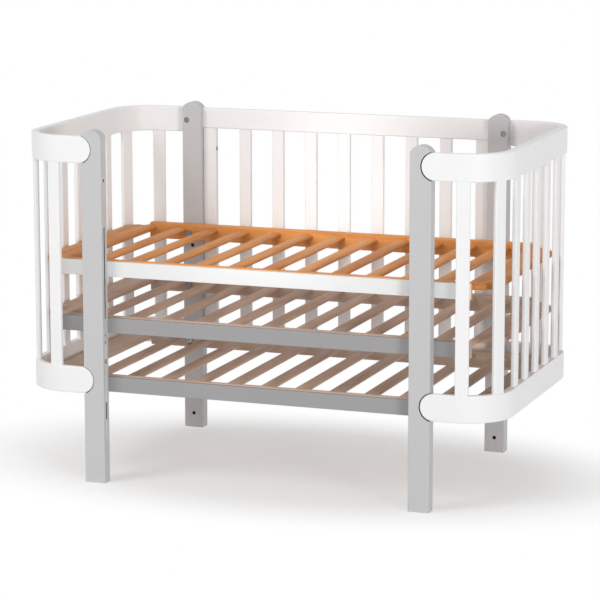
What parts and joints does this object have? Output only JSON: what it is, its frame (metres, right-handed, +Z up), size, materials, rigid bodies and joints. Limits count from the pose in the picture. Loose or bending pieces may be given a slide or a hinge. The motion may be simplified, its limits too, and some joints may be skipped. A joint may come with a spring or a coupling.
{
  "type": "convertible crib",
  "caption": "Slatted baby crib with four posts, bowed end panels, an open front and lift-out slatted bases at stacked heights.",
  "frame": {"origin": "on the floor, below the middle of the crib's box", "axes": "+X along the crib's length to the right as seen from the open front, -Y out of the open front, +Z up"},
  "size_m": [1.263, 0.689, 0.8953],
  "materials": {
    "grey_painted_wood": "satin light grey lacquer",
    "white_painted_wood": "satin white lacquer",
    "honey_beech": "satin clear lacquer on honey-coloured beech",
    "grey_brown_beech": "satin grey-brown stain on beech",
    "white_fascia": "satin white lacquer",
    "grey_fascia": "satin mid grey lacquer",
    "zinc_steel": "zinc plated",
    "brass_insert": "turned",
    "white_plastic": "moulded"
  },
  "bodies": {
    "frame": {"front_left_post": "grey_painted_wood", "front_right_post": "grey_painted_wood", "back_left_post": "grey_painted_wood", "back_right_post": "grey_painted_wood", "left_end_top_rail": "white_painted_wood", "left_end_bottom_rail": "white_painted_wood", "left_end_slat_1": "white_painted_wood", "left_end_slat_2": "white_painted_wood", "left_end_slat_3": "white_painted_wood", "left_end_slat_4": "white_painted_wood", "left_end_slat_5": "white_painted_wood", "left_end_slat_6": "white_painted_wood", "left_end_slat_7": "white_painted_wood", "left_end_slat_8": "white_painted_wood", "left_end_slat_9": "white_painted_wood", "back_left_stile": "white_painted_wood", "right_end_top_rail": "white_painted_wood", "right_end_bottom_rail": "white_painted_wood", "right_end_slat_1": "white_painted_wood", "right_end_slat_2": "white_painted_wood", "right_end_slat_3": "white_painted_wood", "right_end_slat_4": "white_painted_wood", "right_end_slat_5": "white_painted_wood", "right_end_slat_6": "white_painted_wood", "right_end_slat_7": "white_painted_wood", "right_end_slat_8": "white_painted_wood", "right_end_slat_9": "white_painted_wood", "back_right_stile": "white_painted_wood", "back_top_rail": "white_painted_wood", "back_bottom_rail": "white_painted_wood", "back_slat_1": "white_painted_wood", "back_slat_2": "white_painted_wood", "back_slat_3": "white_painted_wood", "back_slat_4": "white_painted_wood", "back_slat_5": "white_painted_wood", "back_slat_6": "white_painted_wood", "back_slat_7": "white_painted_wood", "rail_bolts": "zinc_steel", "stile_bolts": "zinc_steel", "deck_bolts": "zinc_steel", "rail_inserts": "brass_insert", "guide_strips": "white_plastic"},
    "lower_deck": {"lower_deck_front_rail": "grey_brown_beech", "lower_deck_back_rail": "grey_brown_beech", "lower_deck_fascia": "grey_fascia", "lower_deck_slats": "grey_brown_beech", "lower_deck_right_end_board": "grey_brown_beech", "lower_deck_left_end_board": "grey_brown_beech"},
    "middle_deck": {"middle_deck_front_rail": "grey_brown_beech", "middle_deck_back_rail": "grey_brown_beech", "middle_deck_fascia": "grey_fascia", "middle_deck_slats": "grey_brown_beech", "middle_deck_right_end_board": "grey_brown_beech", "middle_deck_left_end_board": "grey_brown_beech"},
    "top_deck": {"top_deck_front_rail": "honey_beech", "top_deck_back_rail": "honey_beech", "top_deck_fascia": "white_fascia", "top_deck_slats": "honey_beech", "top_deck_right_end_board": "honey_beech", "top_deck_left_end_board": "honey_beech"}
  },
  "joints": [
    {"name": "lower_deck_lift", "type": "slide", "parent": "frame", "child": "lower_deck", "axis": [0, 0, 1], "range_m": [0, 0.09]},
    {"name": "middle_deck_lift", "type": "slide", "parent": "frame", "child": "middle_deck", "axis": [0, 0, 1], "range_m": [0, 0.09]},
    {"name": "top_deck_lift", "type": "slide", "parent": "frame", "child": "top_deck", "axis": [0, 0, 1], "range_m": [0, 0.25]}
  ]
}
